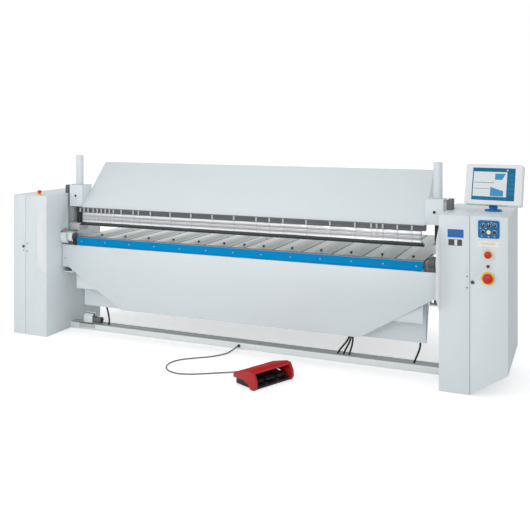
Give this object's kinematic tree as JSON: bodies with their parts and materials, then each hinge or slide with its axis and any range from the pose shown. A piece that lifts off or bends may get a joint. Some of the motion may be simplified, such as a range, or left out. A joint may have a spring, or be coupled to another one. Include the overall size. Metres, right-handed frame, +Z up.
{
  "type": "sheet metal folding brake",
  "caption": "Motor-driven folding brake for sheet metal with segmented clamping tools, slotted table, back gauge, stands and foot switch.",
  "frame": {"origin": "on the floor, in the middle of the rectangle of the four anchor bolts", "axes": "+X along the bending line to the right, +Y from the operator to the back, +Z up"},
  "size_m": [4.3183, 2.1147, 1.587],
  "materials": {
    "white_paint": "satin",
    "frame_paint": "satin",
    "blue_paint": "satin",
    "panel_blue": "satin",
    "tool_steel": "polished",
    "dark_steel": "matte",
    "table_steel": "satin",
    "cast_grey": "matte",
    "motor_grey": "matte",
    "red_plastic": "gloss",
    "pedal_red": "satin",
    "black_plastic": "matte",
    "lit_yellow": "gloss",
    "black_rubber": "matte",
    "cord_grey": "matte",
    "monitor_shell": "satin",
    "screen_glass": "gloss",
    "electric_grey": "matte"
  },
  "bodies": {
    "frame": {"side_frames": "frame_paint", "floor_cross_member": "frame_paint", "lower_beam": "white_paint", "lower_tool_rail": "dark_steel", "table_plates": "table_steel", "table_arms": "frame_paint", "left_cabinet": "white_paint", "right_cabinet": "white_paint", "control_cabinet": "white_paint", "control_gear": "electric_grey", "door_hinges": "dark_steel", "pivot_hubs": "cast_grey", "lift_gearboxes": "cast_grey", "fold_gearmotors": "motor_grey", "gauge_drive": "motor_grey", "monitor_pedestal": "panel_blue", "foot_switch_base": "black_plastic", "foot_switch_hood": "pedal_red", "pedal_cord": "cord_grey", "cord_glands": "black_rubber", "beam_hoses": "black_rubber", "lubrication_pump": "motor_grey"},
    "upper_beam": {"upper_beam_girder": "frame_paint", "upper_beam_cover": "white_paint", "end_blocks": "white_paint", "guide_shoes": "dark_steel", "clamp_strip": "dark_steel", "clamping_tools": "tool_steel"},
    "left_lift_spindle": {"left_lift_spindle": "tool_steel"},
    "right_lift_spindle": {"right_lift_spindle": "tool_steel"},
    "folding_beam": {"folding_beam": "white_paint", "bending_rail": "blue_paint", "pivot_arms": "dark_steel", "fold_gears": "dark_steel"},
    "left_pinion": {"left_pinion": "dark_steel"},
    "right_pinion": {"right_pinion": "dark_steel"},
    "back_gauge": {"gauge_bar": "motor_grey", "gauge_fingers": "tool_steel"},
    "gauge_spindle": {"gauge_spindle": "tool_steel"},
    "left_door": {"left_door": "white_paint"},
    "right_door": {"right_door": "white_paint", "control_panel": "panel_blue"},
    "left_door_lock": {"left_door_lock": "dark_steel"},
    "right_door_lock": {"right_door_lock": "dark_steel"},
    "selector_1": {"selector_1": "black_plastic"},
    "selector_2": {"selector_2": "black_plastic"},
    "selector_3": {"selector_3": "black_plastic"},
    "clamp_button": {"clamp_button": "black_plastic"},
    "lit_button": {"lit_button": "lit_yellow"},
    "fold_button": {"fold_button": "black_plastic"},
    "stop_button": {"stop_button": "red_plastic"},
    "main_stop": {"main_stop": "red_plastic"},
    "key_switch": {"key_switch": "dark_steel"},
    "top_stop": {"top_stop": "red_plastic"},
    "monitor_neck": {"monitor_neck": "panel_blue"},
    "monitor": {"monitor_housing": "monitor_shell", "monitor_screen": "screen_glass"},
    "left_pedal": {"left_pedal": "black_plastic"},
    "middle_pedal": {"middle_pedal": "black_plastic"},
    "right_pedal": {"right_pedal": "black_plastic"}
  },
  "joints": [
    {"name": "upper_beam_lift", "type": "slide", "parent": "frame", "child": "upper_beam", "axis": [0, 0, 1], "range_m": [-0.104, 0]},
    {"name": "left_spindle_turn", "type": "hinge", "parent": "frame", "child": "left_lift_spindle", "pos_m": [-1.633, -0.02, 1], "axis": [0, 0, 1], "range_deg": [-3750, 0]},
    {"name": "right_spindle_turn", "type": "hinge", "parent": "frame", "child": "right_lift_spindle", "pos_m": [1.633, -0.02, 1], "axis": [0, 0, 1], "range_deg": [-3750, 0]},
    {"name": "folding_beam_swing", "type": "hinge", "parent": "frame", "child": "folding_beam", "pos_m": [0, -0.1495, 0.856], "axis": [-1, 0, 0], "range_deg": [0, 150]},
    {"name": "left_pinion_turn", "type": "hinge", "parent": "frame", "child": "left_pinion", "pos_m": [-1.8, -0.0473, 0.67898], "axis": [-1, 0, 0], "range_deg": [-360, 0]},
    {"name": "right_pinion_turn", "type": "hinge", "parent": "frame", "child": "right_pinion", "pos_m": [1.8, -0.0473, 0.67898], "axis": [-1, 0, 0], "range_deg": [-360, 0]},
    {"name": "back_gauge_travel", "type": "slide", "parent": "frame", "child": "back_gauge", "axis": [0, 1, 0], "range_m": [-0.34, 0.45]},
    {"name": "gauge_spindle_turn", "type": "hinge", "parent": "frame", "child": "gauge_spindle", "pos_m": [0.0115, 0.5, 0.67], "axis": [0, 1, 0], "range_deg": [-6125, 8105]},
    {"name": "left_door_swing", "type": "hinge", "parent": "frame", "child": "left_door", "pos_m": [-2.06, -0.39, 0.6], "axis": [0, 0, -1], "range_deg": [0, 110]},
    {"name": "right_door_swing", "type": "hinge", "parent": "frame", "child": "right_door", "pos_m": [2.163, -0.39, 0.6], "axis": [0, 0, 1], "range_deg": [0, 110]},
    {"name": "left_lock_turn", "type": "hinge", "parent": "left_door", "child": "left_door_lock", "pos_m": [-1.957, -0.4, 0.782], "axis": [0, -1, 0], "range_deg": [0, 90]},
    {"name": "right_lock_turn", "type": "hinge", "parent": "right_door", "child": "right_door_lock", "pos_m": [1.937, -0.4, 0.782], "axis": [0, 1, 0], "range_deg": [0, 90]},
    {"name": "selector_1_turn", "type": "hinge", "parent": "right_door", "child": "selector_1", "pos_m": [2.007, -0.405, 1.181], "axis": [0, -1, 0], "range_deg": [-45, 45]},
    {"name": "selector_2_turn", "type": "hinge", "parent": "right_door", "child": "selector_2", "pos_m": [2.045, -0.405, 1.181], "axis": [0, -1, 0], "range_deg": [-45, 45]},
    {"name": "selector_3_turn", "type": "hinge", "parent": "right_door", "child": "selector_3", "pos_m": [2.083, -0.405, 1.181], "axis": [0, -1, 0], "range_deg": [-45, 45]},
    {"name": "clamp_button_press", "type": "slide", "parent": "right_door", "child": "clamp_button", "axis": [0, 1, 0], "range_m": [0, 0.003], "stiffness_N_per_m": 500, "springref_m": -0.003},
    {"name": "lit_button_press", "type": "slide", "parent": "right_door", "child": "lit_button", "axis": [0, 1, 0], "range_m": [0, 0.003], "stiffness_N_per_m": 500, "springref_m": -0.003},
    {"name": "fold_button_press", "type": "slide", "parent": "right_door", "child": "fold_button", "axis": [0, 1, 0], "range_m": [0, 0.003], "stiffness_N_per_m": 500, "springref_m": -0.003},
    {"name": "stop_button_press", "type": "slide", "parent": "right_door", "child": "stop_button", "axis": [0, 1, 0], "range_m": [0, 0.005], "stiffness_N_per_m": 600, "springref_m": -0.004},
    {"name": "main_stop_press", "type": "slide", "parent": "right_door", "child": "main_stop", "axis": [0, 1, 0], "range_m": [0, 0.005], "stiffness_N_per_m": 800, "springref_m": -0.004},
    {"name": "key_turn", "type": "hinge", "parent": "right_door", "child": "key_switch", "pos_m": [2.04, -0.405, 0.9], "axis": [0, -1, 0], "range_deg": [0, 90]},
    {"name": "top_stop_press", "type": "slide", "parent": "frame", "child": "top_stop", "axis": [0, 0, -1], "range_m": [0, 0.005], "stiffness_N_per_m": 700, "springref_m": -0.004},
    {"name": "monitor_swivel", "type": "hinge", "parent": "frame", "child": "monitor_neck", "pos_m": [2.035, -0.033, 1.27], "axis": [0, 0, 1], "range_deg": [-60, 60]},
    {"name": "monitor_tilt", "type": "hinge", "parent": "monitor_neck", "child": "monitor", "pos_m": [2.035, -0.033, 1.302], "axis": [0.9914, -0.1305, 0], "range_deg": [-15, 20]},
    {"name": "left_pedal_press", "type": "hinge", "parent": "frame", "child": "left_pedal", "pos_m": [0.47097, -0.68912, 0.04], "axis": [0.4226, 0.9063, 0], "range_deg": [0, 8], "stiffness_Nm_per_rad": 5, "springref_deg": -11.46},
    {"name": "middle_pedal_press", "type": "hinge", "parent": "frame", "child": "middle_pedal", "pos_m": [0.47097, -0.68912, 0.04], "axis": [0.4226, 0.9063, 0], "range_deg": [0, 8], "stiffness_Nm_per_rad": 5, "springref_deg": -11.46},
    {"name": "right_pedal_press", "type": "hinge", "parent": "frame", "child": "right_pedal", "pos_m": [0.47097, -0.68912, 0.04], "axis": [0.4226, 0.9063, 0], "range_deg": [0, 8], "stiffness_Nm_per_rad": 5, "springref_deg": -11.46}
  ],
  "couplings": [
    {"joint": "left_spindle_turn", "follows": "upper_beam_lift", "rad_per_m": 628.32},
    {"joint": "right_spindle_turn", "follows": "upper_beam_lift", "rad_per_m": 628.32},
    {"joint": "left_pinion_turn", "follows": "folding_beam_swing", "ratio": -2.4},
    {"joint": "right_pinion_turn", "follows": "folding_beam_swing", "ratio": -2.4},
    {"joint": "gauge_spindle_turn", "follows": "back_gauge_travel", "rad_per_m": 314.16}
  ]
}
